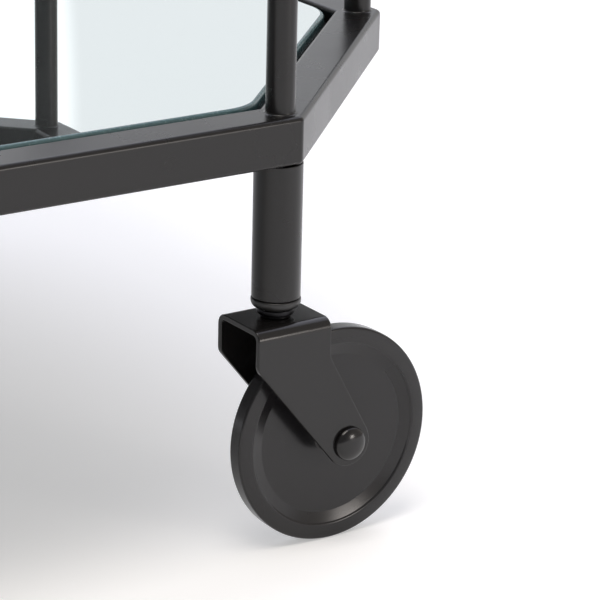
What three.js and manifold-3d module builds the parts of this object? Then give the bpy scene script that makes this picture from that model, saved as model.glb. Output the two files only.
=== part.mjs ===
// Bar cart on wheels: two octagonal tube frames with glass shelves, each under a guard rail,
// on eight round posts, four round legs and four swivel casters.
// Millimetres, +Z up, +X along the length. Origin: centre of the footprint, on the floor.

import * as THREE from 'three';
import { mergeVertices } from 'three/addons/utils/BufferGeometryUtils.js';
import Module from 'manifold-3d';

const wasm = await Module();
wasm.setup();

// Overall sizes.
const frameLength = 760;
const frameDepth = 445;
const cornerCut = 105; // how far each cut-off corner runs along X and along Y
const shelfSpacing = 550; // from the underside of one shelf frame to the next
const lowerGuardRise = 100; // clear height between a shelf frame and the guard rail over it
const upperGuardRise = 82;

// Square tube of the shelf frames and guard rails.
const tubeSize = 16;
const tubeWall = 1.2;
const tubeEdgeRadius = 1.7;
const cornerRadius = 2.2; // the tube's outer mitred corner, seen from above
const mitreGap = 0.3;
const ventDiameter = 5; // opening from each post into the top rail

// Round posts and legs.
const postDiameter = 9.7;
const postWall = 1;
const legDiameter = 16.2;
const legWall = 1.2;
const legLength = 45.6;
const postSetback = 0.3; // how far posts stand in from the tubes' middle line
const legSetback = 0.55;

// Shelf panes and the ledges that carry them.
const paneThickness = 5;
const paneArris = 1.2; // the rounded edge of a pane, as one chamfer
const paneGap = 2.2; // between the pane and the inner faces of the frame
const paneCornerRadius = 20;
const ledgeWidth = 12;
const ledgeThickness = 2;

// Leg ferrule: a plug inside the leg with a rounded lip below it.
const ferruleLip = 3.1;
const ferruleLipFlare = 0.2; // how far the lip stands out past the leg
const ferruleLipTaper = 1.6; // how far the lip draws in at its foot
const ferruleShoulder = 1; // from the lip's top down to where it starts to draw in
const plugLength = 20;

// Caster.
const wheelDiameter = 75;
const rimWidth = 7;
const lipWidth = 5.4; // flat ring round the wheel's face
const recessDepth = 1.2;
const recessSlope = 3.4;
const treadChamfer = 0.9;
const hubDiameter = 14;
const trail = 22.3; // from the swivel axis back to the wheel's axle
const axleDiameter = 6;
const axleHeadDiameter = 11.6;
const axleHeadHeight = 3;
const axleHeadRim = 0.5; // straight edge of the head, below its dome
const forkWidth = 24.8;
const forkPlate = 2;
const forkBendRadius = 3.8;
const forkTopFront = 14.4; // top plate, ahead of the swivel axis
const forkTopRear = 14;
const forkShoulder = 13.4; // depth of the side plates before they slant to the axle
const forkEndRadius = 8.2;
const stemDiameter = 8;
const stemFlangeDiameter = 12.6; // also the rivet head inside the fork
const stemFlangeThickness = 2;
const stemBossDiameter = 10; // the boss between the fork and the flange
const stemBossHeight = 0.9;
const stemRivetHeight = 1.2;
const stemAbovePlug = 4;
const ringThickness = 1;
const ringGrooveDepth = 0.9;

// Clearances.
const seatGap = 0.3; // between two pieces that rest on or are welded to each other
const runningGap = 0.3; // round a shaft that turns
const wheelClearance = 4.4; // from the tread up to the stem's rivet head

// Facets of the curves.
const roundSegments = 16; // round posts, legs and stems
const wheelSegments = 32;
const domeSegments = 3; // over an axle head
const tubeEdgeSegments = 2;
const cornerSegments = 1; // round a mitred corner of the tube
const paneCornerSegments = 2;
const forkBendSegments = 2;
const forkEndSegments = 6;

// How far a cutting body reaches past what it cuts.
const cutSpare = 1;
const wedgeSpare = 4;

// Heights above the floor, from the wheels up.
const wheelRadius = wheelDiameter / 2;
const axleDrop = forkPlate + seatGap + stemRivetHeight + wheelClearance + wheelRadius;
const forkTopHeight = wheelRadius + axleDrop;
const flangeBase = forkTopHeight + seatGap + stemBossHeight;
const ferruleBase = flangeBase + stemFlangeThickness + seatGap;
const legBase = ferruleBase + ferruleLip + seatGap;
const lowerFrameBase = legBase + legLength + seatGap;
const lowerGuardBase = lowerFrameBase + tubeSize + lowerGuardRise;
const upperFrameBase = lowerFrameBase + shelfSpacing;
const upperGuardBase = upperFrameBase + tubeSize + upperGuardRise;

// Distances of the posts' and legs' axes from the frame's outer faces.
const postInset = tubeSize / 2 + postSetback;
const legInset = tubeSize / 2 + legSetback;

const finishes = {
  frame: { color: 0x2f2e2f, roughness: 0.42, metalness: 0.1 },
  caster: { color: 0x232323, roughness: 0.3, metalness: 0.1 },
  ferrule: { color: 0x29292a, roughness: 0.5, metalness: 0 },
  wheel: { color: 0x3a3a3c, roughness: 0.55, metalness: 0 },
  stem: { color: 0x262627, roughness: 0.3, metalness: 0.6 },
  mirror: { color: 0xe9eef0, roughness: 0.03, metalness: 1 },
  glass: { color: 0xcfe3dc, roughness: 0.03, metalness: 0, transparent: true, opacity: 0.35 },
};

// Names of the octagon's corners, anticlockwise from above; the side after a corner comes next.
const corners = [
  { name: 'front_right', side: 'front_right_corner', leg: true },
  { name: 'right_front', side: 'right', leg: false },
  { name: 'right_rear', side: 'rear_right_corner', leg: false },
  { name: 'rear_right', side: 'rear', leg: true },
  { name: 'rear_left', side: 'rear_left_corner', leg: true },
  { name: 'left_rear', side: 'left', leg: false },
  { name: 'left_front', side: 'front_left_corner', leg: false },
  { name: 'front_left', side: 'front', leg: true },
];

// A closed three.js geometry as a solid that can be cut and joined.
function toSolid(geometry) {
  const bare = geometry.clone();
  bare.deleteAttribute('normal');
  bare.deleteAttribute('uv');
  const merged = mergeVertices(bare, 1e-4);
  const index = merged.index.array;
  const triangles = [];
  for (let i = 0; i < index.length; i += 3) {
    const [a, b, c] = [index[i], index[i + 1], index[i + 2]];
    if (a !== b && b !== c && c !== a) triangles.push(a, b, c);
  }
  const mesh = new wasm.Mesh({
    numProp: 3,
    vertProperties: new Float32Array(merged.attributes.position.array),
    triVerts: new Uint32Array(triangles),
  });
  return new wasm.Manifold(mesh);
}

function toGeometry(solid) {
  const mesh = solid.getMesh();
  const geometry = new THREE.BufferGeometry();
  geometry.setAttribute('position', new THREE.BufferAttribute(mesh.vertProperties, 3));
  geometry.setIndex(new THREE.BufferAttribute(mesh.triVerts, 1));
  return geometry;
}

function addPiece(group, name, solid, finish) {
  const material = new THREE.MeshStandardMaterial(finishes[finish]);
  const piece = new THREE.Mesh(toGeometry(solid), material);
  piece.name = name;
  group.add(piece);
  return piece;
}

// Corners of the frame's octagon, moved inwards by an inset.
function octagon(inset) {
  const slide = inset * (Math.SQRT2 - 1);
  const endX = frameLength / 2 - inset;
  const endY = frameDepth / 2 - inset;
  const cutX = frameLength / 2 - cornerCut - slide;
  const cutY = frameDepth / 2 - cornerCut - slide;
  return [
    [cutX, -endY], [endX, -cutY], [endX, cutY], [cutX, endY],
    [-cutX, endY], [-endX, cutY], [-endX, -cutY], [-cutX, -endY],
  ].map(([x, y]) => new THREE.Vector2(x, y));
}

// Adds a closed outline with rounded corners to a shape or path; the points run anticlockwise.
function roundedOutline(path, points, radius) {
  points.forEach((point, i) => {
    const before = points[(i + points.length - 1) % points.length];
    const after = points[(i + 1) % points.length];
    const arrive = point.clone().sub(before).normalize();
    const leave = after.clone().sub(point).normalize();
    const turn = Math.acos(arrive.dot(leave));
    const start = point.clone().addScaledVector(arrive, -radius * Math.tan(turn / 2));
    const centre = start.clone().add(new THREE.Vector2(-arrive.y, arrive.x).multiplyScalar(radius));
    const startAngle = Math.atan2(start.y - centre.y, start.x - centre.x);
    if (i === 0) path.moveTo(start.x, start.y);
    else path.lineTo(start.x, start.y);
    path.absarc(centre.x, centre.y, radius, startAngle, startAngle + turn, false);
  });
  path.closePath();
  return path;
}

// A flat shape made a solid from one height up, with rounded or ground edges if asked for.
function extrude(shape, base, height, curveSegments = 1, edge = 0, edgeSegments = 1) {
  const geometry = new THREE.ExtrudeGeometry(shape, {
    depth: height - 2 * edge,
    bevelEnabled: edge > 0,
    bevelSize: edge,
    bevelOffset: -edge,
    bevelThickness: edge,
    bevelSegments: edgeSegments,
    curveSegments,
  });
  geometry.translate(0, 0, base + edge);
  return toSolid(geometry);
}

// A profile of [radius, height] points turned about Z.
function turned(profile, segments = roundSegments) {
  const points = profile.map(([radius, height]) => new THREE.Vector2(radius, height));
  const geometry = new THREE.LatheGeometry(points, segments);
  geometry.rotateX(Math.PI / 2);
  return toSolid(geometry);
}

function cylinder(radius, base, height, segments = roundSegments) {
  const geometry = new THREE.CylinderGeometry(radius, radius, height, segments);
  geometry.rotateX(Math.PI / 2);
  geometry.translate(0, 0, base + height / 2);
  return toSolid(geometry);
}

function roundTube(outerRadius, wall, base, height) {
  const innerRadius = outerRadius - wall;
  const top = base + height;
  return turned([
    [innerRadius, base], [outerRadius, base], [outerRadius, top], [innerRadius, top], [innerRadius, base],
  ]);
}

// The whole octagonal ring of square tube, hollow inside.
function tubeRing(base) {
  const outline = roundedOutline(new THREE.Shape(), octagon(0), cornerRadius);
  outline.holes.push(new THREE.Path(octagon(tubeSize).reverse()));
  const bore = new THREE.Shape(octagon(tubeWall));
  bore.holes.push(new THREE.Path(octagon(tubeSize - tubeWall).reverse()));
  const outside = extrude(outline, base, tubeSize, cornerSegments, tubeEdgeRadius, tubeEdgeSegments);
  return outside.subtract(extrude(bore, base + tubeWall, tubeSize - 2 * tubeWall));
}

// Round holes where the posts stand.
function cutAtPosts(solid, radius, base, height) {
  const cutter = cylinder(radius, base - cutSpare, height + 2 * cutSpare);
  return octagon(postInset).reduce(
    (rest, corner) => rest.subtract(cutter.translate([corner.x, corner.y, 0])),
    solid,
  );
}

// The stretch of a ring between corner i and the next, cut at both mitres.
function ringSide(ring, i, base) {
  const outer = octagon(-wedgeSpare);
  const inner = octagon(tubeSize + wedgeSpare);
  const next = (i + 1) % outer.length;
  const along = outer[next].clone().sub(outer[i]).normalize();
  const trim = along.multiplyScalar(mitreGap / 2 / Math.cos(Math.PI / 8));
  const wedge = new THREE.Shape([
    outer[i].add(trim), outer[next].sub(trim), inner[next].sub(trim), inner[i].add(trim),
  ]);
  return ring.intersect(extrude(wedge, base - wedgeSpare, tubeSize + 2 * wedgeSpare));
}

function addFrame(cart, prefix, ring, base) {
  corners.forEach((corner, i) => {
    addPiece(cart, `${prefix}_frame_${corner.side}`, ringSide(ring, i, base), 'frame');
  });
}

// A pane lies flush with the top of its frame, on a flat ledge inside the tubes.
function addShelf(cart, prefix, frameBase, paneName, finish) {
  const paneBase = frameBase + tubeSize - paneThickness;
  const pane = roundedOutline(new THREE.Shape(), octagon(tubeSize + paneGap), paneCornerRadius);
  const slab = extrude(pane, paneBase, paneThickness, paneCornerSegments, paneArris);
  addPiece(cart, paneName, slab, finish);
  const ledge = new THREE.Shape(octagon(tubeSize + seatGap));
  ledge.holes.push(new THREE.Path(octagon(tubeSize + ledgeWidth).reverse()));
  const ledgeBase = paneBase - seatGap - ledgeThickness;
  addPiece(cart, `${prefix}_shelf_ledge`, extrude(ledge, ledgeBase, ledgeThickness), 'frame');
}

function addPosts(cart) {
  const base = lowerFrameBase + tubeSize + seatGap;
  const height = upperGuardBase - seatGap - base;
  octagon(postInset).forEach((place, i) => {
    const post = roundTube(postDiameter / 2, postWall, base, height);
    addPiece(cart, `post_${corners[i].name}`, post, 'frame').position.set(place.x, place.y, 0);
  });
}

function ferrule() {
  const lipRadius = legDiameter / 2 + ferruleLipFlare;
  const footRadius = lipRadius - ferruleLipTaper;
  const plugRadius = legDiameter / 2 - legWall - seatGap;
  const boreRadius = stemDiameter / 2 + runningGap;
  const lipTop = ferruleBase + ferruleLip;
  return turned([
    [boreRadius, ferruleBase], [footRadius, ferruleBase], [lipRadius, lipTop - ferruleShoulder],
    [lipRadius, lipTop - ferruleLipFlare], [lipRadius - ferruleLipFlare, lipTop],
    [plugRadius, lipTop], [plugRadius, lipTop + plugLength], [boreRadius, lipTop + plugLength],
    [boreRadius, ferruleBase],
  ]);
}

// The swivel stem: riveted in the fork, flanged under the ferrule, grooved above the plug.
function casterStem() {
  const radius = stemDiameter / 2;
  const grooveRadius = radius - ringGrooveDepth;
  const plateUnderside = forkTopHeight - forkPlate;
  const rivetBase = plateUnderside - seatGap - stemRivetHeight;
  const flangeTop = flangeBase + stemFlangeThickness;
  const grooveBase = ferruleBase + ferruleLip + plugLength + seatGap;
  const grooveTop = grooveBase + ringThickness + 2 * seatGap;
  const flangeRadius = stemFlangeDiameter / 2;
  const bossRadius = stemBossDiameter / 2;
  return turned([
    [0, rivetBase], [flangeRadius, rivetBase], [flangeRadius, plateUnderside - seatGap],
    [radius, plateUnderside - seatGap], [radius, forkTopHeight + seatGap],
    [bossRadius, forkTopHeight + seatGap], [bossRadius, flangeBase], [flangeRadius, flangeBase],
    [flangeRadius, flangeTop], [radius, flangeTop], [radius, grooveBase], [grooveRadius, grooveBase],
    [grooveRadius, grooveTop], [radius, grooveTop], [radius, grooveTop + stemAbovePlug],
    [0, grooveTop + stemAbovePlug],
  ]);
}

function gripRing() {
  const base = ferruleBase + ferruleLip + plugLength + 2 * seatGap;
  const innerRadius = stemDiameter / 2 - ringGrooveDepth + seatGap;
  const outerRadius = legDiameter / 2 - legWall - seatGap;
  return roundTube(outerRadius, outerRadius - innerRadius, base, ringThickness);
}

// The bent strap of the fork: a U section along X, trimmed to the side plates' outline.
function fork() {
  const reach = trail + forkEndRadius;
  const drop = axleDrop + forkEndRadius;
  const half = forkWidth / 2;
  const inside = half - forkPlate;
  const innerBend = forkBendRadius - forkPlate;
  const section = new THREE.Shape();
  section.moveTo(-half, -drop);
  section.lineTo(-inside, -drop);
  section.lineTo(-inside, -forkPlate - innerBend);
  section.absarc(-inside + innerBend, -forkPlate - innerBend, innerBend, Math.PI, Math.PI / 2, true);
  section.lineTo(inside - innerBend, -forkPlate);
  section.absarc(inside - innerBend, -forkPlate - innerBend, innerBend, Math.PI / 2, 0, true);
  section.lineTo(inside, -drop);
  section.lineTo(half, -drop);
  section.lineTo(half, -forkBendRadius);
  section.absarc(half - forkBendRadius, -forkBendRadius, forkBendRadius, 0, Math.PI / 2, false);
  section.lineTo(-half + forkBendRadius, 0);
  section.absarc(-half + forkBendRadius, -forkBendRadius, forkBendRadius, Math.PI / 2, Math.PI, false);
  section.closePath();
  // The section's X and Y become the fork's Y and Z, and its depth runs along X.
  const strap = extrude(section, -forkTopFront, forkTopFront + reach, forkBendSegments).rotate([90, 0, 90]);
  const plates = extrude(forkOutline(), -forkWidth, 2 * forkWidth, forkEndSegments).rotate([90, 0, 0]);
  const stemHole = cylinder(stemDiameter / 2 + seatGap, -forkPlate - cutSpare, forkPlate + 2 * cutSpare);
  const axleHole = cylinder(axleDiameter / 2 + seatGap, -forkWidth, 2 * forkWidth);
  return strap
    .intersect(plates)
    .subtract(stemHole)
    .subtract(axleHole.rotate([90, 0, 0]).translate([trail, 0, -axleDrop]))
    .translate([0, 0, forkTopHeight]);
}

// A side plate from the side: square shoulders, then straight slants that meet the round end.
function forkOutline() {
  const end = new THREE.Vector2(trail, -axleDrop);
  const frontKink = new THREE.Vector2(-forkTopFront, -forkShoulder);
  const rearKink = new THREE.Vector2(forkTopRear, -forkShoulder);
  const tangentAngle = (kink, way) => {
    const toKink = kink.clone().sub(end);
    return toKink.angle() + way * Math.acos(forkEndRadius / toKink.length());
  };
  const startAngle = tangentAngle(frontKink, 1);
  const stopAngle = tangentAngle(rearKink, -1);
  const outline = new THREE.Shape();
  outline.moveTo(-forkTopFront, forkPlate);
  outline.lineTo(frontKink.x, frontKink.y);
  outline.absarc(end.x, end.y, forkEndRadius, startAngle, stopAngle + 2 * Math.PI, false);
  outline.lineTo(rearKink.x, rearKink.y);
  outline.lineTo(forkTopRear, forkPlate);
  outline.closePath();
  return outline;
}

// The axle: a rivet along Y with a domed head outside each side plate.
function axle() {
  const radius = axleDiameter / 2;
  const headRadius = axleHeadDiameter / 2;
  const headBase = forkWidth / 2 + seatGap;
  const domeBase = headBase + axleHeadRim;
  const domeHeight = axleHeadHeight - axleHeadRim;
  const dome = [];
  for (let i = 0; i < domeSegments; i += 1) {
    const angle = (i / domeSegments) * (Math.PI / 2);
    dome.push([headRadius * Math.cos(angle), domeBase + domeHeight * Math.sin(angle)]);
  }
  const upper = [[radius, headBase], [headRadius, headBase], ...dome, [0, domeBase + domeHeight]];
  const lower = upper.map(([r, y]) => [r, -y]).reverse();
  return turned([...lower, ...upper]).rotate([90, 0, 0]).translate([trail, 0, wheelRadius]);
}

// The moulded wheel: a thin recessed disc with a flat lip and a hub that fills the fork.
function wheel() {
  const bore = axleDiameter / 2 + runningGap;
  const hub = hubDiameter / 2;
  const hubHalf = forkWidth / 2 - forkPlate - runningGap;
  const rimHalf = rimWidth / 2;
  const webHalf = rimHalf - recessDepth;
  const lipInner = wheelRadius - lipWidth;
  const webRadius = lipInner - recessSlope;
  const upper = [
    [wheelRadius, rimHalf - treadChamfer], [wheelRadius - treadChamfer, rimHalf], [lipInner, rimHalf],
    [webRadius, webHalf], [hub, webHalf], [hub, hubHalf], [bore, hubHalf],
  ];
  const lower = upper.map(([r, y]) => [r, -y]).reverse();
  const profile = [...lower, ...upper, lower[0]];
  return turned(profile, wheelSegments).rotate([90, 0, 0]).translate([trail, 0, wheelRadius]);
}

// One leg with everything under it, about its own vertical axis.
function addLeg(cart, name, place) {
  const group = new THREE.Group();
  group.position.set(place.x, place.y, 0);
  addPiece(group, `${name}_leg`, roundTube(legDiameter / 2, legWall, legBase, legLength), 'frame');
  addPiece(group, `${name}_leg_ferrule`, ferrule(), 'ferrule');
  addPiece(group, `${name}_caster_stem`, casterStem(), 'stem');
  addPiece(group, `${name}_caster_grip_ring`, gripRing(), 'stem');
  addPiece(group, `${name}_caster_fork`, fork(), 'caster');
  addPiece(group, `${name}_caster_axle`, axle(), 'caster');
  addPiece(group, `${name}_caster_wheel`, wheel(), 'wheel');
  cart.add(group);
}

const cart = new THREE.Group();

addFrame(cart, 'lower', tubeRing(lowerFrameBase), lowerFrameBase);
addShelf(cart, 'lower', lowerFrameBase, 'lower_mirror_shelf', 'mirror');

const postHole = postDiameter / 2 + seatGap;
const upperRing = cutAtPosts(tubeRing(upperFrameBase), postHole, upperFrameBase, tubeSize);
addFrame(cart, 'upper', upperRing, upperFrameBase);
addShelf(cart, 'upper', upperFrameBase, 'upper_glass_shelf', 'glass');

const lowerGuard = cutAtPosts(tubeRing(lowerGuardBase), postHole, lowerGuardBase, tubeSize);
addPiece(cart, 'lower_guard_rail', lowerGuard, 'frame');

// The posts stop under the top rail, which they vent into.
const topGuard = cutAtPosts(tubeRing(upperGuardBase), ventDiameter / 2, upperGuardBase, tubeWall);
addPiece(cart, 'upper_guard_rail', topGuard, 'frame');

addPosts(cart);
octagon(legInset).forEach((place, i) => {
  if (corners[i].leg) addLeg(cart, corners[i].name, place);
});

export default cart;
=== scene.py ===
"""Octagonal bar cart: the visual model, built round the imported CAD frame.

Every piece takes its size and place from the CAD nodes, in metres. Run as a script.
"""

import math

import bmesh
import bpy
from bpy.props import FloatProperty, FloatVectorProperty, IntProperty, PointerProperty
from mathutils import Matrix, Vector


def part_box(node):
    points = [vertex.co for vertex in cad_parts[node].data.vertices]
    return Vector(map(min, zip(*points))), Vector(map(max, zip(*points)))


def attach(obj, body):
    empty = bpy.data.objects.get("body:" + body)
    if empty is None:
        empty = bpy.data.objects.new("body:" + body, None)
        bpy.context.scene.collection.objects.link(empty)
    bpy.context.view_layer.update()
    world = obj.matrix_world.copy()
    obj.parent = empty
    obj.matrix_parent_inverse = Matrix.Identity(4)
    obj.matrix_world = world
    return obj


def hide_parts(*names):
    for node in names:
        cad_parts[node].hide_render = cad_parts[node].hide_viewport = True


bl_info = {
    "name": "Octagonal Bar Cart",
    "version": (1, 0, 0),
    "blender": (4, 5, 0),
    "location": "3D View > Sidebar > Bar Cart",
    "description": "Builds the frame, shelves and casters of a bar cart round its CAD model",
    "category": "Object",
}

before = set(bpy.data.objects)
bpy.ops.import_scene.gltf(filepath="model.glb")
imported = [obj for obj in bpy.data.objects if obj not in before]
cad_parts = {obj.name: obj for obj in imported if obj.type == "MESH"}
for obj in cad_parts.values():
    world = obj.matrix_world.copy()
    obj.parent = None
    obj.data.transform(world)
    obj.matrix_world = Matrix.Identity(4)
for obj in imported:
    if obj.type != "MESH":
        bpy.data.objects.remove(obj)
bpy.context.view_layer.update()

MM = 0.001
LEGS = ("front_right", "rear_right", "rear_left", "front_left")
CORNERS = (
    "front_right", "right_front", "right_rear", "rear_right",
    "rear_left", "left_rear", "left_front", "front_left",
)
SIDES = (
    "front_right_corner", "right", "rear_right_corner", "rear",
    "rear_left_corner", "left", "front_left_corner", "front",
)

# Sizes that the CAD nodes give.
RAIL_LO, RAIL_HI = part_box("lower_guard_rail")
HALF_LENGTH = RAIL_HI.x
HALF_DEPTH = RAIL_HI.y
TUBE = RAIL_HI.z - RAIL_LO.z
CORNER_X = round(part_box("lower_frame_front")[1].x, 3)
CORNER_Y = round(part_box("lower_frame_right")[1].y, 3)
TURN = math.pi / 4  # every corner of the octagon turns by this

# Sizes that are the same in CAD, where no single node's box gives them.
SEAT_GAP = 0.3 * MM
LEG_WALL = 1.2 * MM
LEDGE_PAST_TUBE = 12 * MM
SHAFT_RADIUS = 4 * MM
GROOVE_RADIUS = 3.1 * MM
RING_BORE_RADIUS = 3.4 * MM
FERRULE_BORE_RADIUS = 4.3 * MM
PLUG_RADIUS = 6.5 * MM
FERRULE_SHOULDER = 1 * MM
FERRULE_TAPER = 1.6 * MM
AXLE_RADIUS = 3 * MM
AXLE_HEAD_RIM = 0.7 * MM
WHEEL_BORE_RADIUS = 3.3 * MM
LIP_WIDTH = 5.4 * MM
HALF_RIM = 3.5 * MM

# Sizes of the wheel's moulded shape that only the visual model has.
LIP_CROWN = 0.4 * MM
TREAD_SHOULDER = 0.9 * MM
RECESS_WALL = 4.2 * MM
HALF_WEB = 1.8 * MM
HUB_RADIUS = 6.2 * MM
HUB_FILLET = 0.8 * MM

# The camera: its place from the front right corner of the lower frame, its axes and its lens.
CAMERA_FROM_CORNER = Vector((-538.6, -785.9, 284.7)) * MM
CAMERA_RIGHT = Vector((0.82888, -0.55899, 0.02208))
CAMERA_UP = Vector((0.16593, 0.28335, 0.94455))
CAMERA_LENS = 186.23
SENSOR_WIDTH = 36


# ---------------------------------------------------------------- sizes and colours


def linear(code):
    """An sRGB hex colour as the linear values that Blender works in."""
    channels = [int(code[i : i + 2], 16) / 255 for i in (1, 3, 5)]
    return [c / 12.92 if c <= 0.04045 else ((c + 0.055) / 1.055) ** 2.4 for c in channels]


def length(name, description, default):
    return FloatProperty(
        name=name, description=description, default=default, min=0.0, unit="LENGTH", precision=5
    )


def colour(name, description, code):
    return FloatVectorProperty(
        name=name, description=description, default=linear(code), size=3, subtype="COLOR", min=0, max=1
    )


class CartSizes(bpy.types.PropertyGroup):
    tube_edge: length("Tube edge radius", "Radius of the square tube's long edges", 1.7 * MM)
    tube_corner: length("Mitre radius", "Radius of the ground corner at each mitre", 2.4 * MM)
    weld_fillet: length("Weld fillet", "Leg of the fillet weld round each post end", 0.8 * MM)
    pane_round: length("Pane edge radius", "Radius of the polished round on a pane's edges", 1.5 * MM)
    pane_corner: length("Pane corner radius", "Radius of each corner of a shelf pane", 20 * MM)
    plate: length("Fork plate", "Thickness of the fork's steel strap", 2 * MM)
    plate_edge: length("Fork edge", "Radius of the tumbled edges of the strap", 0.4 * MM)
    fork_bend: length("Fork bend", "Outer radius of the bend from the fork's top to a side", 3.8 * MM)
    fork_rear: length("Fork rear", "From the swivel's axis to the rear edge of the fork's top", 14 * MM)
    fork_shoulder: length("Fork shoulder", "From the fork's top down to where it draws in", 13.4 * MM)
    stem_boss: length("Stem boss", "Diameter of the boss between the fork and the stem's flange", 10 * MM)
    stem_boss_height: length("Stem boss height", "Height of that boss", 0.9 * MM)
    round_steps: IntProperty(
        name="Round steps", description="Segments round small turned pieces", default=96, min=16
    )
    wheel_steps: IntProperty(
        name="Wheel steps", description="Segments round a wheel", default=192, min=32
    )


class CartColours(bpy.types.PropertyGroup):
    powder_coat: colour("Powder coat", "Charcoal powder coat of the frame", "#161515")
    enamel: colour("Caster enamel", "Gloss black enamel of the fork and the axle", "#151414")
    wheel: colour("Wheel plastic", "Moulded plastic of the wheels", "#1D1C1D")
    ferrule: colour("Ferrule nylon", "Black nylon of the leg ferrules", "#1D1D1D")
    zinc: colour("Black zinc", "Black zinc plating of the caster stems", "#2A2A2C")
    silver: colour("Silvered glass", "What the mirror pane gives back", "#EEF6F6")
    glass: colour("Glass", "Tint of the clear pane", "#E9F4F0")
    glass_edge: colour("Glass edge", "Polished edge of both panes", "#4C686B")
    floor: colour("Floor", "Pale studio floor", "#E6E6E6")


# ---------------------------------------------------------------- materials


def node(tree, kind, links=None, **settings):
    """Adds a node; settings are its properties or input values, links feed its inputs."""
    made = tree.nodes.new(kind)
    for name, value in settings.items():
        if hasattr(made, name):
            setattr(made, name, value)
        else:
            made.inputs[name.replace("_", " ")].default_value = value
    for name, source in (links or {}).items():
        target = made.inputs[name] if isinstance(name, int) else made.inputs[name.replace("_", " ")]
        tree.links.new(source, target)
    return made


def new_material(name):
    """A material with an empty tree but for its shader; returns it, its tree and the shader."""
    material = bpy.data.materials.new(name)
    material.use_nodes = True
    tree = material.node_tree
    tree.nodes.clear()
    shader = tree.nodes.new("ShaderNodeBsdfPrincipled")
    output = tree.nodes.new("ShaderNodeOutputMaterial")
    tree.links.new(shader.outputs["BSDF"], output.inputs["Surface"])
    return material, tree, shader


def set_shader(shader, **values):
    for name, value in values.items():
        shader.inputs[name.replace("_", " ")].default_value = value


def grain(tree, size, detail=2.0, roughness=0.5):
    """Noise whose features are about size metres across, on the piece's own coordinates."""
    place = node(tree, "ShaderNodeTexCoord")
    return node(
        tree, "ShaderNodeTexNoise", {"Vector": place.outputs["Object"]},
        Scale=1 / size, Detail=detail, Roughness=roughness,
    )


def spread(tree, source, low, high):
    """Turns a 0 to 1 pattern into values from low to high."""
    made = node(tree, "ShaderNodeMapRange", {"Value": source})
    made.inputs["From Min"].default_value = 0.25
    made.inputs["From Max"].default_value = 0.75
    made.inputs["To Min"].default_value = low
    made.inputs["To Max"].default_value = high
    return made.outputs["Result"]


def tinted(tree, source, colour_value, depth):
    """The colour, a little darker and lighter by depth where the pattern is low and high."""
    darker = [c * (1 - depth) for c in colour_value] + [1]
    lighter = [min(1.0, c * (1 + depth)) for c in colour_value] + [1]
    mix = node(tree, "ShaderNodeMix", {"Factor": source}, data_type="RGBA")
    mix.inputs[6].default_value = darker
    mix.inputs[7].default_value = lighter
    return mix.outputs[2]


def coated(name, colour_value, roughness, swing, peel, height, index=1.5):
    """Paint or plastic: a faint mottle of colour and gloss, and a fine skin of peel metres across."""
    material, tree, shader = new_material(name)
    mottle = grain(tree, 30 * MM, 4.0)
    skin = grain(tree, peel, 3.0)
    bump = node(
        tree, "ShaderNodeBump", {"Height": skin.outputs["Fac"]}, Strength=1.0, Distance=height
    )
    tree.links.new(tinted(tree, mottle.outputs["Fac"], colour_value, 0.08), shader.inputs["Base Color"])
    tree.links.new(
        spread(tree, mottle.outputs["Fac"], roughness - swing, roughness + swing),
        shader.inputs["Roughness"],
    )
    tree.links.new(bump.outputs["Normal"], shader.inputs["Normal"])
    set_shader(shader, IOR=index)
    return material


def powder_coat():
    """Polyester powder coat, semi-gloss, sprayed and baked: a soft sheen with fine orange peel."""
    value = bpy.context.scene.cart_colours.powder_coat
    return coated("charcoal_powder_coat", value, 0.28, 0.03, 0.9 * MM, 0.004 * MM, index=1.42)


def enamel():
    """Dipped stoving enamel on steel: glossier and blacker than the frame's coat."""
    value = bpy.context.scene.cart_colours.enamel
    return coated("black_stove_enamel", value, 0.2, 0.03, 1.4 * MM, 0.003 * MM, index=1.45)


def wheel_plastic():
    """Injection-moulded polypropylene: satin, with the fine spark-eroded grain of its mould."""
    value = bpy.context.scene.cart_colours.wheel
    return coated("moulded_wheel_plastic", value, 0.2, 0.02, 0.5 * MM, 0.002 * MM, index=1.42)


def ferrule_nylon():
    """Moulded black nylon: a soft, slightly uneven sheen."""
    value = bpy.context.scene.cart_colours.ferrule
    return coated("black_nylon", value, 0.38, 0.04, 0.7 * MM, 0.005 * MM)


def black_zinc():
    """Black zinc plate on turned steel: dark and satin, with tool rings and small tumbling marks."""
    material, tree, shader = new_material("black_black_zincd_steel")
    rings = node(tree, "ShaderNodeTexCoord")
    wave = node(
        tree, "ShaderNodeTexWave", {"Vector": rings.outputs["Object"]},
        bands_direction="Z", Scale=1 / (1.2 * MM), Distortion=0.4,
    )
    marks = grain(tree, 2 * MM, 4.0)
    value = bpy.context.scene.cart_colours.zinc
    bump = node(tree, "ShaderNodeBump", {"Height": wave.outputs["Fac"]}, Strength=0.6, Distance=0.01 * MM)
    tree.links.new(tinted(tree, marks.outputs["Fac"], value, 0.12), shader.inputs["Base Color"])
    tree.links.new(spread(tree, marks.outputs["Fac"], 0.26, 0.4), shader.inputs["Roughness"])
    tree.links.new(bump.outputs["Normal"], shader.inputs["Normal"])
    set_shader(shader, Metallic=1.0)
    return material


def silvered_glass():
    """Silvered float glass: nearly perfect reflection, a breath of haze and a cool tint."""
    material, tree, shader = new_material("silvered_glass")
    haze = grain(tree, 60 * MM, 3.0)
    value = bpy.context.scene.cart_colours.silver
    tree.links.new(tinted(tree, haze.outputs["Fac"], value, 0.006), shader.inputs["Base Color"])
    tree.links.new(spread(tree, haze.outputs["Fac"], 0.0, 0.015), shader.inputs["Roughness"])
    set_shader(shader, Metallic=0.965)
    return material


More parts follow.
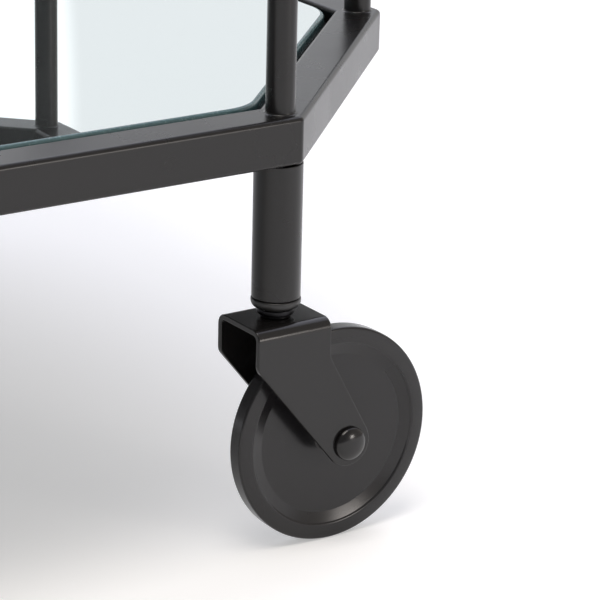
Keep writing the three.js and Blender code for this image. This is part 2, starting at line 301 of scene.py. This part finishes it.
def clear_glass():
    """Toughened float glass: clear, faintly green, with hardly visible roller waves."""
    material, tree, shader = new_material("toughened_glass")
    wave = grain(tree, 80 * MM, 1.0)
    value = bpy.context.scene.cart_colours.glass
    bump = node(tree, "ShaderNodeBump", {"Height": wave.outputs["Fac"]}, Strength=0.2, Distance=0.02 * MM)
    tree.links.new(tinted(tree, wave.outputs["Fac"], value, 0.01), shader.inputs["Base Color"])
    tree.links.new(bump.outputs["Normal"], shader.inputs["Normal"])
    set_shader(shader, IOR=1.52, Roughness=0.0, Transmission_Weight=1.0)
    return material


def polished_edge():
    """The polished edge of float glass: blue-green, from light gathered along the pane."""
    material, tree, shader = new_material("polished_glass_edge")
    streaks = grain(tree, 1.5 * MM, 3.0)
    value = bpy.context.scene.cart_colours.glass_edge
    tree.links.new(tinted(tree, streaks.outputs["Fac"], value, 0.25), shader.inputs["Base Color"])
    tree.links.new(spread(tree, streaks.outputs["Fac"], 0.2, 0.3), shader.inputs["Roughness"])
    set_shader(shader, IOR=1.52)
    return material


def backing_paint():
    """Grey lacquer over the silvering on the mirror's underside: matt and slightly speckled."""
    return coated("mirror_backing_lacquer", linear("#55585A"), 0.6, 0.05, 1.2 * MM, 0.01 * MM)


def studio_floor():
    """Translucent white table, lit a little from below: pale and matt, with a very faint mottle."""
    material, tree, shader = new_material("pale_studio_floor")
    mottle = grain(tree, 40 * MM, 2.0)
    value = bpy.context.scene.cart_colours.floor
    tree.links.new(tinted(tree, mottle.outputs["Fac"], value, 0.004), shader.inputs["Base Color"])
    set_shader(shader, Roughness=0.9, IOR=1.3, Emission_Color=(1, 1, 1, 1), Emission_Strength=FLOOR_GLOW)
    return material


# The tent's panels: name, direction, cosines where the panel has faded out and where it is full,
# tone, strength.
TENT_BASE = ("#ACACAE", 0.68)
PANELS = (
    ("rear", (0.50, 0.82, 0.27), 0.55, 0.90, "#FBFDFF", 0.62),
    ("rear left", (0.0, 0.970, 0.242), 0.8725, 0.8770, "#FFFFFF", 0.40),
    ("right", (0.86, -0.48, 0.12), 0.30, 0.85, "#FFF0E0", 0.35),
    ("zenith", (0.24, 0.43, 0.87), 0.74, 0.88, "#E4E7FC", 1.30),
)
SOFTBOXES = (
    # name, direction, distance, width, height (m), power (W), tone
    ("main softbox", (-0.25, -0.15, 1.0), 1.6, 0.90, 0.90, 16.0, "#FFF8F0"),
    ("low strip", (0.414, -0.888, 0.205), 1.5, 0.32, 0.30, 3.8, "#FFF8F2"),
)
AIM_HEIGHT = 0.012
FLOOR_GLOW = 0.34


def light_tent():
    """The world: an even tent with soft panels, each a lobe about its own direction."""
    world = bpy.data.worlds.new("light tent")
    world.use_nodes = True
    tree = world.node_tree
    place = node(tree, "ShaderNodeTexCoord").outputs["Generated"]
    base = node(tree, "ShaderNodeRGB").outputs[0]
    base.default_value = [c * TENT_BASE[1] for c in linear(TENT_BASE[0])] + [1]
    total = base
    for name, direction, low, high, tone, strength in PANELS:
        lobe = node(tree, "ShaderNodeVectorMath", {0: place}, operation="DOT_PRODUCT", label=name)
        lobe.inputs[1].default_value = Vector(direction).normalized()
        fade = node(
            tree, "ShaderNodeMapRange", {"Value": lobe.outputs["Value"]}, interpolation_type="SMOOTHSTEP"
        )
        fade.inputs["From Min"].default_value = low
        fade.inputs["From Max"].default_value = high
        glow = node(tree, "ShaderNodeVectorMath", {"Scale": fade.outputs["Result"]}, operation="SCALE")
        glow.inputs[0].default_value = [c * strength for c in linear(tone)]
        joined = node(
            tree, "ShaderNodeVectorMath", {0: total, 1: glow.outputs["Vector"]}, operation="ADD"
        )
        total = joined.outputs["Vector"]
    tree.links.new(total, tree.nodes["Background"].inputs["Color"])
    return world


_made = {}


def finish_of(make):
    """Each material is made once, by its function, and shared."""
    if make.__name__ not in _made:
        _made[make.__name__] = make()
    return _made[make.__name__]


# ---------------------------------------------------------------- shapes


def octagon(inset):
    """Corners of the frame's outline moved inwards, anticlockwise from the front right."""
    slide = inset * math.tan(TURN / 2)
    end_x, end_y = HALF_LENGTH - inset, HALF_DEPTH - inset
    cut_x, cut_y = CORNER_X - slide, CORNER_Y - slide
    quarter = [(cut_x, -end_y), (end_x, -cut_y), (end_x, cut_y), (cut_x, end_y)]
    return [Vector(p) for p in quarter] + [Vector((-x, -y)) for x, y in quarter]


def corner_arc(i, inset, radius, steps, half=None):
    """Points round corner i at an inset; half is -1 for the turn's first half, 1 for its second."""
    centre = octagon(inset + radius)[i]
    middle = math.atan2(*reversed(octagon(0)[i] - octagon(10 * MM)[i]))
    low = middle - (TURN / 2 if half in (None, -1) else 0)
    high = middle + (TURN / 2 if half in (None, 1) else 0)
    angles = [low + (high - low) * k / steps for k in range(steps + 1)]
    return [centre + radius * Vector((math.cos(a), math.sin(a))) for a in angles]


def tube_section(size, edge, steps=6):
    """A square with rounded edges, as (inset from the outer face, height) points."""
    points = []
    for centre, start in (
        ((edge, edge), math.pi), ((size - edge, edge), 1.5 * math.pi),
        ((size - edge, size - edge), 0.0), ((edge, size - edge), 0.5 * math.pi),
    ):
        for k in range(steps + 1):
            angle = start + 0.5 * math.pi * k / steps
            points.append((centre[0] + edge * math.cos(angle), centre[1] + edge * math.sin(angle)))
    return points


def mitre_radius(inset, outer):
    """The mitre's radius falls from the ground outer face to almost nothing inside."""
    return max(0.12 * MM, outer * (1 - inset / TUBE))


def shell(rings, closed_path):
    """A closed tube of quads through rings of points; open paths get flat ends."""
    mesh = bmesh.new()
    rows = [[mesh.verts.new(p) for p in ring] for ring in rings]
    pairs = list(zip(rows, rows[1:] + rows[:1])) if closed_path else list(zip(rows, rows[1:]))
    for here, there in pairs:
        for k in range(len(here)):
            n = (k + 1) % len(here)
            mesh.faces.new((here[k], here[n], there[n], there[k]))
    if not closed_path:
        mesh.faces.new(rows[0])
        mesh.faces.new(rows[-1])
    return mesh


def settle(mesh, name):
    """Turns a bmesh into a mesh with its faces out and its seams merged."""
    bmesh.ops.remove_doubles(mesh, verts=mesh.verts, dist=1e-7)
    bmesh.ops.recalc_face_normals(mesh, faces=mesh.faces)
    data = bpy.data.meshes.new(name)
    mesh.to_mesh(data)
    mesh.free()
    return data


def place_piece(name, data, makers, body, slot, *nodes, crease=35):
    """Adds a finished piece to the scene: smooth but for its creases, riding on its body."""
    data.name = name
    for maker in makers:
        data.materials.append(finish_of(maker))
    data.shade_smooth()
    data.set_sharp_from_angle(angle=math.radians(crease))
    piece = bpy.data.objects.new(name, data)
    bpy.context.scene.collection.objects.link(piece)
    weighted = piece.modifiers.new("flat faces stay flat", "WEIGHTED_NORMAL")
    weighted.keep_sharp = True
    weighted.weight = 80
    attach(piece, body)
    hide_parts(*nodes)
    return piece


# ---------------------------------------------------------------- turned pieces


def turning_tree():
    """A Geometry Nodes tree that turns a profile about Z: the profile rides round a small circle."""
    tree = bpy.data.node_groups.new("turned profile", "GeometryNodeTree")
    face = tree.interface
    face.new_socket("Profile", in_out="INPUT", socket_type="NodeSocketGeometry")
    face.new_socket("Steps", in_out="INPUT", socket_type="NodeSocketInt")
    face.new_socket("Path radius", in_out="INPUT", socket_type="NodeSocketFloat")
    face.new_socket("Finish", in_out="INPUT", socket_type="NodeSocketMaterial")
    face.new_socket("Turned piece", in_out="OUTPUT", socket_type="NodeSocketGeometry")
    given = node(tree, "NodeGroupInput").outputs
    profile = node(tree, "GeometryNodeMeshToCurve", {"Mesh": given["Profile"]})
    path = node(
        tree, "GeometryNodeCurvePrimitiveCircle",
        {"Resolution": given["Steps"], "Radius": given["Path radius"]},
    )
    upright = node(tree, "GeometryNodeSetCurveNormal", {"Curve": path.outputs["Curve"]}, mode="Z_UP")
    swept = node(
        tree, "GeometryNodeCurveToMesh",
        {"Curve": upright.outputs["Curve"], "Profile_Curve": profile.outputs["Curve"]},
    )
    poles = node(
        tree, "GeometryNodeMergeByDistance", {"Geometry": swept.outputs["Mesh"]}, Distance=1e-7
    )
    real = node(tree, "GeometryNodeRealizeInstances", {"Geometry": poles.outputs["Geometry"]})
    done = node(
        tree, "GeometryNodeSetMaterial",
        {"Geometry": real.outputs["Geometry"], "Material": given["Finish"]},
    )
    out = node(tree, "NodeGroupOutput")
    tree.links.new(done.outputs["Geometry"], out.inputs["Turned piece"])
    return tree


def turned(profiles, steps, maker):
    """The mesh of one or more (radius, height) profiles turned about Z by the tree above."""
    if "turned profile" not in bpy.data.node_groups:
        turning_tree()
    tree = bpy.data.node_groups["turned profile"]
    path_radius = 1 * MM
    lines = bmesh.new()
    for profile in profiles:
        points = [lines.verts.new((r - path_radius, -z, 0)) for r, z in profile]
        for a, b in zip(points, points[1:]):
            lines.edges.new((a, b))
        if profile[0][0] > 0:
            lines.edges.new((points[-1], points[0]))
    data = bpy.data.meshes.new("profile")
    lines.to_mesh(data)
    lines.free()
    holder = bpy.data.objects.new("profile", data)
    bpy.context.scene.collection.objects.link(holder)
    modifier = holder.modifiers.new("turn", "NODES")
    modifier.node_group = tree
    values = {"Steps": steps, "Path radius": path_radius, "Finish": finish_of(maker)}
    for item in tree.interface.items_tree:
        if item.name in values:
            modifier[item.identifier] = values[item.name]
    graph = bpy.context.evaluated_depsgraph_get()
    result = bpy.data.meshes.new_from_object(holder.evaluated_get(graph))
    bpy.data.objects.remove(holder)
    mesh = bmesh.new()
    mesh.from_mesh(result)
    result.materials.clear()
    return settle(mesh, "turned")


def moved(data, matrix):
    data.transform(matrix)
    return data


def arc(centre, radius, start, stop, steps):
    """(radius, height) points on an arc; the angles are in degrees from outwards to upwards."""
    points = []
    for k in range(steps + 1):
        angle = math.radians(start + (stop - start) * k / steps)
        points.append((centre[0] + radius * math.cos(angle), centre[1] + radius * math.sin(angle)))
    return points


def centre_of(name):
    low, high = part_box(name)
    return (low + high) / 2


# ---------------------------------------------------------------- operators


class CartOperator:
    bl_options = {"REGISTER", "UNDO"}

    def execute(self, context):
        self.build(context.scene.cart_sizes)
        return {"FINISHED"}


class CART_OT_shelf_frames(CartOperator, bpy.types.Operator):
    """Builds the mitred square tubes of both shelf frames"""

    bl_idname = "cart.shelf_frames"
    bl_label = "Shelf Frames"

    def build(self, sizes):
        for level in ("lower", "upper"):
            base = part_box(f"{level}_frame_front")[0].z
            for i, side in enumerate(SIDES):
                name = f"{level}_frame_{side}"
                mesh = shell(self.stations(sizes, base, i), closed_path=False)
                place_piece(
                    f"{name}_tube", settle(mesh, name), [powder_coat], "cart", "frame_powder_coat", name
                )

    def stations(self, sizes, base, i):
        """Sections of one tube from the middle of one mitre to the middle of the next."""
        steps = 3
        columns = []
        for inset, height in tube_section(TUBE, sizes.tube_edge):
            radius = mitre_radius(inset, sizes.tube_corner)
            start = corner_arc(i, inset, radius, steps, half=1)
            stop = corner_arc((i + 1) % 8, inset, radius, steps, half=-1)
            columns.append([Vector((p.x, p.y, base + height)) for p in start + stop])
        return [list(row) for row in zip(*columns)]


class CART_OT_guard_rails(CartOperator, bpy.types.Operator):
    """Builds the octagonal guard rails over both shelves"""

    bl_idname = "cart.guard_rails"
    bl_label = "Guard Rails"

    def build(self, sizes):
        steps = 6
        for level in ("lower", "upper"):
            name = f"{level}_guard_rail"
            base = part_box(name)[0].z
            columns = []
            for inset, height in tube_section(TUBE, sizes.tube_edge):
                radius = mitre_radius(inset, sizes.tube_corner)
                line = [p for i in range(8) for p in corner_arc(i, inset, radius, steps)]
                columns.append([Vector((p.x, p.y, base + height)) for p in line])
            mesh = shell([list(row) for row in zip(*columns)], closed_path=True)
            place_piece(f"{name}_tube", settle(mesh, name), [powder_coat], "cart", "frame_powder_coat", name)


class CART_OT_posts(CartOperator, bpy.types.Operator):
    """Builds the round posts, with a small fillet weld wherever one meets a tube"""

    bl_idname = "cart.posts"
    bl_label = "Posts"

    def build(self, sizes):
        low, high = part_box("post_front_right")
        radius = (high.x - low.x) / 2
        tops = [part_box(n)[1].z for n in ("lower_frame_front", "lower_guard_rail", "upper_frame_front")]
        bottoms = [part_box(n)[0].z for n in ("lower_guard_rail", "upper_frame_front", "upper_guard_rail")]
        fillet = sizes.weld_fillet
        stretches = []
        for start, stop in zip(tops, bottoms):
            foot = arc((radius + fillet, start + fillet), fillet, 270, 180, 5)
            head = arc((radius + fillet, stop - fillet), fillet, 180, 90, 5)
            stretches.append([(0, start), *foot, *head, (0, stop)])
        for corner in CORNERS:
            name = f"post_{corner}"
            place = centre_of(name)
            data = turned(stretches, sizes.round_steps, powder_coat)
            moved(data, Matrix.Translation((place.x, place.y, 0)))
            place_piece(f"{name}_tube", data, [powder_coat], "cart", "frame_powder_coat", name)


class CART_OT_shelves(CartOperator, bpy.types.Operator):
    """Builds the mirror pane, the glass pane and the ledges that carry them"""

    bl_idname = "cart.shelves"
    bl_label = "Shelves"

    def build(self, sizes):
        self.pane("lower_mirror_shelf", [silvered_glass, polished_edge, backing_paint], "mirror", sizes)
        self.pane("upper_glass_shelf", [clear_glass, polished_edge, clear_glass], "shelf_glass", sizes)
        for level in ("lower", "upper"):
            self.ledge(f"{level}_shelf_ledge")

    def pane(self, name, makers, slot, sizes):
        low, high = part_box(name)
        inset = HALF_LENGTH - high.x
        edge = sizes.pane_round
        quarter = [math.pi / 2 * k / 5 for k in range(6)]
        lower_round = [(edge * (1 - math.sin(a)), edge * (1 - math.cos(a))) for a in quarter]
        levels = [(inset + across, low.z + up) for across, up in lower_round]
        levels += [(inset + across, high.z - up) for across, up in reversed(lower_round)]
        mesh = bmesh.new()
        rings = []
        for edge_inset, height in levels:
            radius = sizes.pane_corner - (edge_inset - inset)
            line = [p for i in range(8) for p in corner_arc(i, edge_inset, radius, 12)]
            rings.append([mesh.verts.new((p.x, p.y, height)) for p in line])
        for lower, upper in zip(rings, rings[1:]):
            for k in range(len(lower)):
                n = (k + 1) % len(lower)
                mesh.faces.new((lower[k], lower[n], upper[n], upper[k])).material_index = 1
        mesh.faces.new(rings[-1]).material_index = 0
        mesh.faces.new(rings[0]).material_index = 2
        place_piece(f"{name}_pane", settle(mesh, name), makers, "cart", slot, name, crease=20)

    def ledge(self, name):
        low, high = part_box(name)
        edge = 0.3 * MM
        outer = HALF_LENGTH - high.x
        width = TUBE + LEDGE_PAST_TUBE - outer
        thickness = high.z - low.z
        section = []
        for centre, start in (
            ((edge, edge), math.pi), ((width - edge, edge), 1.5 * math.pi),
            ((width - edge, thickness - edge), 0.0), ((edge, thickness - edge), 0.5 * math.pi),
        ):
            for k in range(3):
                angle = start + 0.25 * math.pi * k
                section.append((centre[0] + edge * math.cos(angle), centre[1] + edge * math.sin(angle)))
        columns = []
        for inset, height in section:
            line = [p for i in range(8) for p in corner_arc(i, outer + inset, 0.5 * MM, 2)]
            columns.append([Vector((p.x, p.y, low.z + height)) for p in line])
        mesh = shell([list(row) for row in zip(*columns)], closed_path=True)
        place_piece(f"{name}_strip", settle(mesh, name), [powder_coat], "cart", "frame_powder_coat", name)


class CART_OT_legs(CartOperator, bpy.types.Operator):
    """Builds the round legs and the lipped ferrules in their feet"""

    bl_idname = "cart.legs"
    bl_label = "Legs"

    def build(self, sizes):
        for leg in LEGS:
            low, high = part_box(f"{leg}_leg")
            place = Matrix.Translation(((low.x + high.x) / 2, (low.y + high.y) / 2, 0))
            radius = (high.x - low.x) / 2
            data = turned([self.leg_profile(radius, low.z, high.z)], sizes.round_steps, powder_coat)
            place_piece(
                f"{leg}_leg_tube", moved(data, place), [powder_coat], "cart", "frame_powder_coat",
                f"{leg}_leg",
            )
            data = turned([self.ferrule_profile(leg)], sizes.round_steps, ferrule_nylon)
            place_piece(
                f"{leg}_ferrule", moved(data, place), [ferrule_nylon], "cart", "ferrule_plastic",
                f"{leg}_leg_ferrule",
            )

    def leg_profile(self, radius, low, high):
        edge = 0.25 * MM
        return [
            (radius - LEG_WALL, low), *arc((radius - edge, low + edge), edge, 270, 360, 4),
            *arc((radius - edge, high - edge), edge, 0, 90, 4), (radius - LEG_WALL, high),
        ]

    def ferrule_profile(self, leg):
        """A plug inside the leg, and a lip that bulges past it and rounds in to its foot."""
        low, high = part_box(f"{leg}_leg_ferrule")
        lip = (high.x - low.x) / 2
        lip_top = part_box(f"{leg}_leg")[0].z - SEAT_GAP
        edge = 0.5 * MM
        waist = lip_top - FERRULE_SHOULDER
        foot = lip - FERRULE_TAPER
        bulge = [
            (foot + FERRULE_TAPER * math.sin(a), waist - (waist - low.z) * math.cos(a))
            for a in [math.pi / 2 * k / 8 for k in range(9)]
        ]
        return [
            (FERRULE_BORE_RADIUS, low.z), *bulge,
            *arc((lip - edge, lip_top - edge), edge, 0, 90, 5),
            (PLUG_RADIUS, lip_top), (PLUG_RADIUS, high.z), (FERRULE_BORE_RADIUS, high.z),
        ]


class CART_OT_caster_stems(CartOperator, bpy.types.Operator):
    """Builds the swivel stems and their grip rings"""

    bl_idname = "cart.caster_stems"
    bl_label = "Caster Stems"

    def build(self, sizes):
        for leg in LEGS:
            low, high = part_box(f"{leg}_caster_stem")
            place = Matrix.Translation(((low.x + high.x) / 2, (low.y + high.y) / 2, 0))
            flange = (high.x - low.x) / 2
            fork_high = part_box(f"{leg}_caster_fork")[1]
            ring_low, ring_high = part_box(f"{leg}_caster_grip_ring")
            flange_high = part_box(f"{leg}_leg_ferrule")[0].z - SEAT_GAP
            profile = self.profile(
                sizes, low.z, high.z, flange, flange_high, fork_high.z, ring_low.z, ring_high.z
            )
            data = turned([profile], sizes.round_steps, black_zinc)
            place_piece(
                f"{leg}_stem", moved(data, place), [black_zinc], f"{leg}_caster", "stem_steel",
                f"{leg}_caster_stem",
            )
            rounded, edge = (ring_high.x - ring_low.x) / 2 - 0.2 * MM, 0.2 * MM
            ring = [
                (RING_BORE_RADIUS, ring_low.z), *arc((rounded, ring_low.z + edge), edge, 270, 360, 3),
                *arc((rounded, ring_high.z - edge), edge, 0, 90, 3), (RING_BORE_RADIUS, ring_high.z),
            ]
            data = turned([ring], sizes.round_steps, black_zinc)
            place_piece(
                f"{leg}_grip_ring", moved(data, place), [black_zinc], f"{leg}_caster", "stem_steel",
                f"{leg}_caster_grip_ring",
            )

    def profile(self, sizes, low, high, flange, flange_high, fork_top, ring_low, ring_high):
        """From the rivet head under the fork, through flange and groove, to the chamfered top."""
        shaft, gap, groove = SHAFT_RADIUS, SEAT_GAP, GROOVE_RADIUS
        edge, chamfer = 0.5 * MM, 0.8 * MM
        rivet_top = fork_top - sizes.plate - gap
        boss = sizes.stem_boss / 2
        flange_low = fork_top + gap + sizes.stem_boss_height
        return [
            (0, low), *arc((flange - edge, low + edge), edge, 270, 360, 4),
            (flange, rivet_top), (shaft, rivet_top), (shaft, fork_top + gap),
            (boss, fork_top + gap), (boss, flange_low),
            *arc((flange - edge, flange_low + edge), edge, 270, 360, 4),
            *arc((flange - edge, flange_high - edge), edge, 0, 90, 4),
            (shaft, flange_high), (shaft, ring_low - gap), (groove, ring_low - gap),
            (groove, ring_high + gap), (shaft, ring_high + gap),
            (shaft, high - chamfer), (shaft - chamfer, high), (0, high),
        ]


class CART_OT_forks(CartOperator, bpy.types.Operator):
    """Builds the bent steel forks"""

    bl_idname = "cart.forks"
    bl_label = "Caster Forks"

    def build(self, sizes):
        for leg in LEGS:
            name = f"{leg}_caster_fork"
            low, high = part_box(name)
            axle = centre_of(f"{leg}_caster_axle")
            swivel = centre_of(f"{leg}_caster_stem")
            data = self.strap(sizes, low, high, axle, swivel)
            place_piece(f"{leg}_fork", data, [enamel], f"{leg}_caster", "caster_enamel", name, crease=50)

    def strap(self, sizes, low, high, axle, swivel):
        """The strap's middle surface, thickened and with tumbled edges."""
        thickness = sizes.plate
        half = (high.y - low.y) / 2 - thickness / 2
        top = high.z - thickness / 2
        bend = sizes.fork_bend - thickness / 2
        steps = 10
        rear = swivel.x + sizes.fork_rear
        mesh = bmesh.new()
        rows = []
        for side in (-1, 1):
            for k in range(steps + 1):
                angle = 0.5 * math.pi * (k if side < 0 else steps - k) / steps
                y = swivel.y + side * (half - bend + bend * math.cos(angle))
                z = top - bend + bend * math.sin(angle)
                rows.append([mesh.verts.new((x, y, z)) for x in (low.x, rear)])
        for here, there in zip(rows, rows[1:]):
            mesh.faces.new((here[0], here[1], there[1], there[0]))
        for row in (rows[0], rows[-1]):
            outline = self.plate_edge(sizes, low, high, axle, rear)
            edge = [mesh.verts.new((x, row[0].co.y, z)) for x, z in outline]
            mesh.faces.new([row[0], *edge, row[1]])
        bmesh.ops.recalc_face_normals(mesh, faces=mesh.faces)
        data = bpy.data.meshes.new("strap")
        mesh.to_mesh(data)
        mesh.free()
        holder = bpy.data.objects.new("strap", data)
        bpy.context.scene.collection.objects.link(holder)
        thick = holder.modifiers.new("plate", "SOLIDIFY")
        thick.thickness = thickness
        thick.offset = 0
        thick.use_even_offset = True
        tumbled = holder.modifiers.new("tumbled edges", "BEVEL")
        tumbled.width = sizes.plate_edge
        tumbled.segments = 3
        tumbled.limit_method = "ANGLE"
        tumbled.angle_limit = math.radians(50)
        graph = bpy.context.evaluated_depsgraph_get()
        result = bpy.data.meshes.new_from_object(holder.evaluated_get(graph))
        bpy.data.objects.remove(holder)
        return result

    def plate_edge(self, sizes, low, high, axle, rear):
        """A side plate's edge below the bend: down the front, round the axle and up the rear."""
        end = Vector((axle.x, axle.z))
        radius = axle.z - low.z
        shoulder = high.z - sizes.fork_shoulder
        front_kink, rear_kink = Vector((low.x, shoulder)), Vector((rear, shoulder))
        kinks = []
        for kink, way in ((front_kink, 1), (rear_kink, -1)):
            out = kink - end
            angle = math.atan2(out.y, out.x) + way * math.acos(radius / out.length)
            kinks.append(angle)
        start, stop = kinks
        stop += 2 * math.pi if stop < start else 0
        turn = [start + (stop - start) * k / 40 for k in range(41)]
        bottom = [end + radius * Vector((math.cos(a), math.sin(a))) for a in turn]
        line = [
            *self.eased(Vector((low.x, high.z)), front_kink, bottom[0]),
            *bottom,
            *self.eased(bottom[-1], rear_kink, Vector((rear, high.z))),
        ]
        return [(p.x, p.y) for p in line]

    def eased(self, before, kink, after):
        """The kink between two straight edges, rounded over a few millimetres."""
        reach = 1.6 * MM
        start = kink + (before - kink).normalized() * reach
        stop = kink + (after - kink).normalized() * reach
        return [start.lerp(kink, t).lerp(kink.lerp(stop, t), t) for t in (0, 0.25, 0.5, 0.75, 1)]


class CART_OT_axles(CartOperator, bpy.types.Operator):
    """Builds the domed axle rivets"""

    bl_idname = "cart.axles"
    bl_label = "Caster Axles"

    def build(self, sizes):
        for leg in LEGS:
            low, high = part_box(f"{leg}_caster_axle")
            centre = (low + high) / 2
            fork_low, fork_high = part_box(f"{leg}_caster_fork")
            half, head = (high.y - low.y) / 2, (high.x - low.x) / 2
            seat = (fork_high.y - fork_low.y) / 2 + 0.05 * MM
            eased = 0.3 * MM
            rim = seat + AXLE_HEAD_RIM
            dome = [
                (head * math.cos(a), rim + (half - rim) * math.sin(a))
                for a in [math.pi / 2 * k / 14 for k in range(14)]
            ]
            upper = [(AXLE_RADIUS, seat), (head - eased, seat), (head, seat + eased), *dome, (0, half)]
            lower = [(r, -y) for r, y in reversed(upper)]
            data = turned([lower + upper], sizes.round_steps, enamel)
            lay = Matrix.Translation(centre) @ Matrix.Rotation(math.pi / 2, 4, "X")
            place_piece(
                f"{leg}_axle", moved(data, lay), [enamel], f"{leg}_caster", "caster_enamel",
                f"{leg}_caster_axle", crease=40,
            )


class CART_OT_wheels(CartOperator, bpy.types.Operator):
    """Builds the moulded wheels"""

    bl_idname = "cart.wheels"
    bl_label = "Wheels"

    def build(self, sizes):
        for leg in LEGS:
            name = f"{leg}_caster_wheel"
            low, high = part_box(name)
            centre = (low + high) / 2
            radius = (high.z - low.z) / 2
            data = turned([self.profile(radius, (high.y - low.y) / 2)], sizes.wheel_steps, wheel_plastic)
            lay = Matrix.Translation(centre) @ Matrix.Rotation(math.pi / 2, 4, "X")
            place_piece(
                f"{leg}_wheel", moved(data, lay), [wheel_plastic], f"{leg}_wheel", "wheel_plastic", name,
                crease=50,
            )

    def profile(self, radius, hub_half):
        """Tread, crowned lip, sloped recess and hub, the same on both faces."""
        rim, web, hub, shoulder = HALF_RIM, HALF_WEB, HUB_RADIUS, TREAD_SHOULDER
        lip = radius - LIP_WIDTH
        floor = lip - RECESS_WALL
        hub_chamfer = 0.3 * MM
        width = radius - shoulder - lip
        lip_face = [
            (lip + width * (1 - t), rim - LIP_CROWN * (1 - t) ** 2)
            for t in (0.15, 0.3, 0.45, 0.6, 0.75, 0.9)
        ]
        upper = [
            *arc((radius - shoulder, rim - LIP_CROWN - shoulder), shoulder, 0, 78, 6), *lip_face,
            (lip - 0.1 * MM, rim - 0.08 * MM), (lip - 0.35 * MM, rim - 0.45 * MM),
            (lip - 0.5 * MM, rim - 0.53 * MM),
            (floor + 0.15 * MM, web + 0.05 * MM), (floor - 0.2 * MM, web),
            *arc((hub + HUB_FILLET, web + HUB_FILLET), HUB_FILLET, 270, 180, 4),
            (hub, hub_half - hub_chamfer), (hub - hub_chamfer, hub_half), (WHEEL_BORE_RADIUS, hub_half),
        ]
        lower = [(r, -y) for r, y in reversed(upper)]
        return lower + upper


class CART_OT_stage(CartOperator, bpy.types.Operator):
    """Sets the pale floor, the soft studio light and the camera"""

    bl_idname = "cart.stage"
    bl_label = "Studio Stage"

    def build(self, sizes):
        scene = bpy.context.scene
        scene.view_settings.view_transform = "Standard"
        self.floor()
        self.light(scene)
        self.camera(scene)

    def floor(self):
        mesh = bmesh.new()
        bmesh.ops.create_grid(mesh, x_segments=8, y_segments=8, size=6.0)
        data = settle(mesh, "floor")
        data.materials.append(finish_of(studio_floor))
        ground = bpy.data.objects.new("studio_floor", data)
        bpy.context.scene.collection.objects.link(ground)

    def light(self, scene):
        """A tent of soft light, and the softboxes that stand in it."""
        scene.world = light_tent()
        for name, direction, distance, width, height, power, tone in SOFTBOXES:
            self.softbox(name, Vector(direction).normalized(), distance, width, height, power, tone)

    def softbox(self, name, direction, distance, width, height, power, tone):
        """A rectangular light that hangs in the given direction from the cart and faces it."""
        data = bpy.data.lights.new(name, "AREA")
        data.shape = "RECTANGLE"
        data.size, data.size_y = width, height
        data.energy = power
        data.color = linear(tone)
        lamp = bpy.data.objects.new(name, data)
        bpy.context.scene.collection.objects.link(lamp)
        aim = Vector((CORNER_X, -HALF_DEPTH, AIM_HEIGHT))
        lamp.location = aim + direction * distance
        lamp.rotation_euler = direction.to_track_quat("Z", "Y").to_euler()

    def camera(self, scene):
        corner = Vector((CORNER_X, -HALF_DEPTH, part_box("lower_frame_front")[0].z))
        data = bpy.data.cameras.new("camera")
        data.sensor_width = SENSOR_WIDTH
        data.lens = CAMERA_LENS
        camera = bpy.data.objects.new("camera", data)
        scene.collection.objects.link(camera)
        camera.location = corner + CAMERA_FROM_CORNER
        back = CAMERA_RIGHT.cross(CAMERA_UP)
        camera.rotation_euler = Matrix((CAMERA_RIGHT, CAMERA_UP, back)).transposed().to_euler()
        scene.camera = camera


class CART_PT_panel(bpy.types.Panel):
    bl_label = "Bar Cart"
    bl_idname = "CART_PT_panel"
    bl_space_type = "VIEW_3D"
    bl_region_type = "UI"
    bl_category = "Bar Cart"

    def draw(self, context):
        for group in (context.scene.cart_sizes, context.scene.cart_colours):
            for name in group.__annotations__:
                self.layout.prop(group, name)
        for operator in OPERATORS:
            self.layout.operator(operator.bl_idname)


OPERATORS = (
    CART_OT_stage, CART_OT_shelf_frames, CART_OT_guard_rails, CART_OT_posts, CART_OT_shelves,
    CART_OT_legs, CART_OT_caster_stems, CART_OT_forks, CART_OT_axles, CART_OT_wheels,
)
CLASSES = (CartSizes, CartColours, *OPERATORS, CART_PT_panel)


def register():
    for made in CLASSES:
        bpy.utils.register_class(made)
    bpy.types.Scene.cart_sizes = PointerProperty(type=CartSizes)
    bpy.types.Scene.cart_colours = PointerProperty(type=CartColours)


def unregister():
    del bpy.types.Scene.cart_colours
    del bpy.types.Scene.cart_sizes
    for made in reversed(CLASSES):
        bpy.utils.unregister_class(made)


def main():
    register()
    for operator in OPERATORS:
        getattr(bpy.ops.cart, operator.bl_idname.split(".")[1])()


if __name__ == "__main__":
    main()
